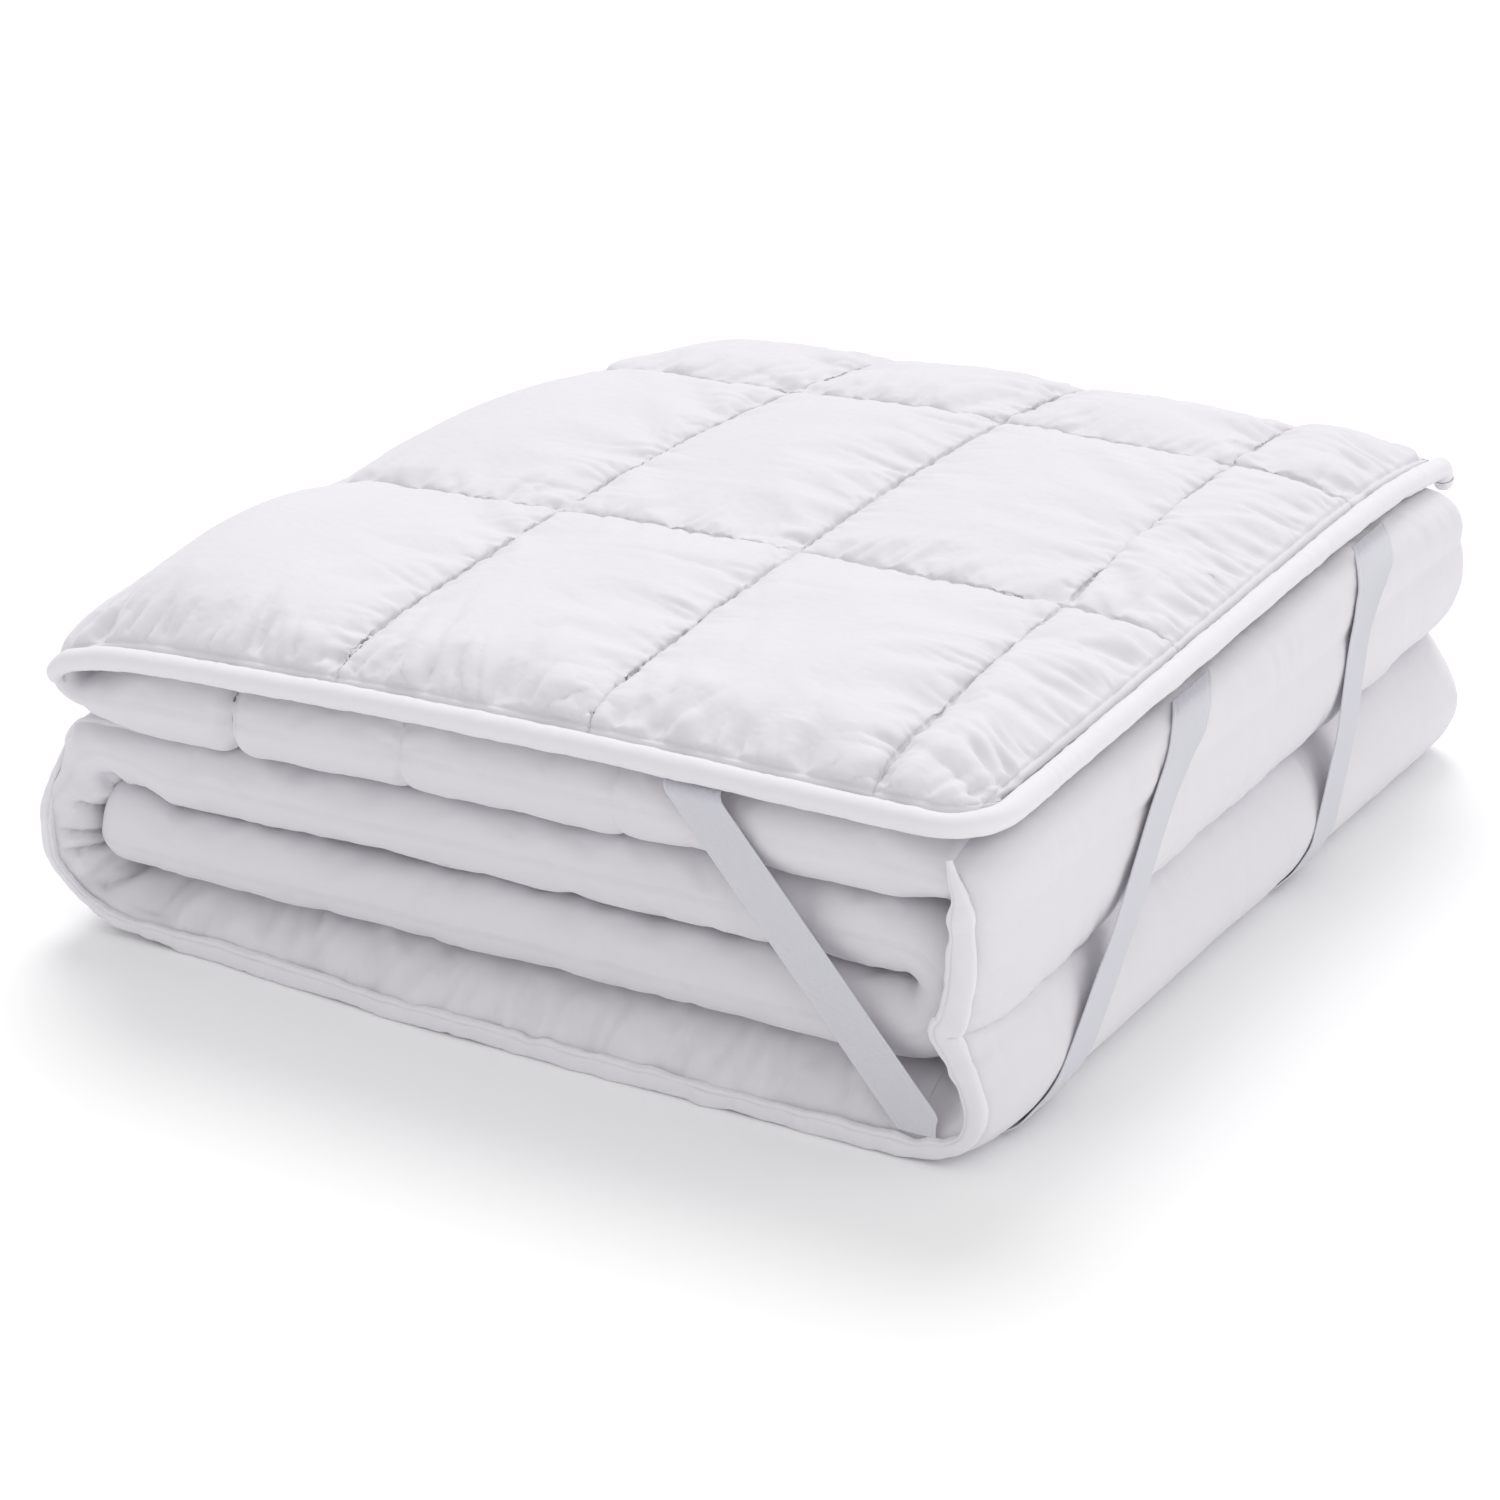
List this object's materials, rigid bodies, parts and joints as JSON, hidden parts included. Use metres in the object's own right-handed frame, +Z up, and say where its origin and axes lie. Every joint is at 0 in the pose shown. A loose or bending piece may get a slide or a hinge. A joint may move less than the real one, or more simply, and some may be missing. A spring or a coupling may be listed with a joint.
{
  "type": "mattress topper",
  "caption": "Quilted, filled mattress topper folded back and forth into a square bundle, with piped and bound edges and corner elastics drawn taut over it.",
  "frame": {"origin": "middle of the flat underside, at the centre of the bounding box", "axes": "+X to the right along the front edge, +Y from the front to the back, +Z up"},
  "size_m": [0.6598, 0.6356, 0.2212],
  "materials": {
    "shell": "matt white woven cotton shell over soft filling",
    "trim": "matt white woven cotton, folded over a cord or flat",
    "elastic": "ribbed elastic webbing, slightly greyer than the shell"
  },
  "bodies": {
    "root": {"topper_body": "shell", "piping": "trim", "edge_binding": "trim", "strap_front": "elastic", "strap_side_front": "elastic", "strap_side_back": "elastic"}
  },
  "joints": []
}
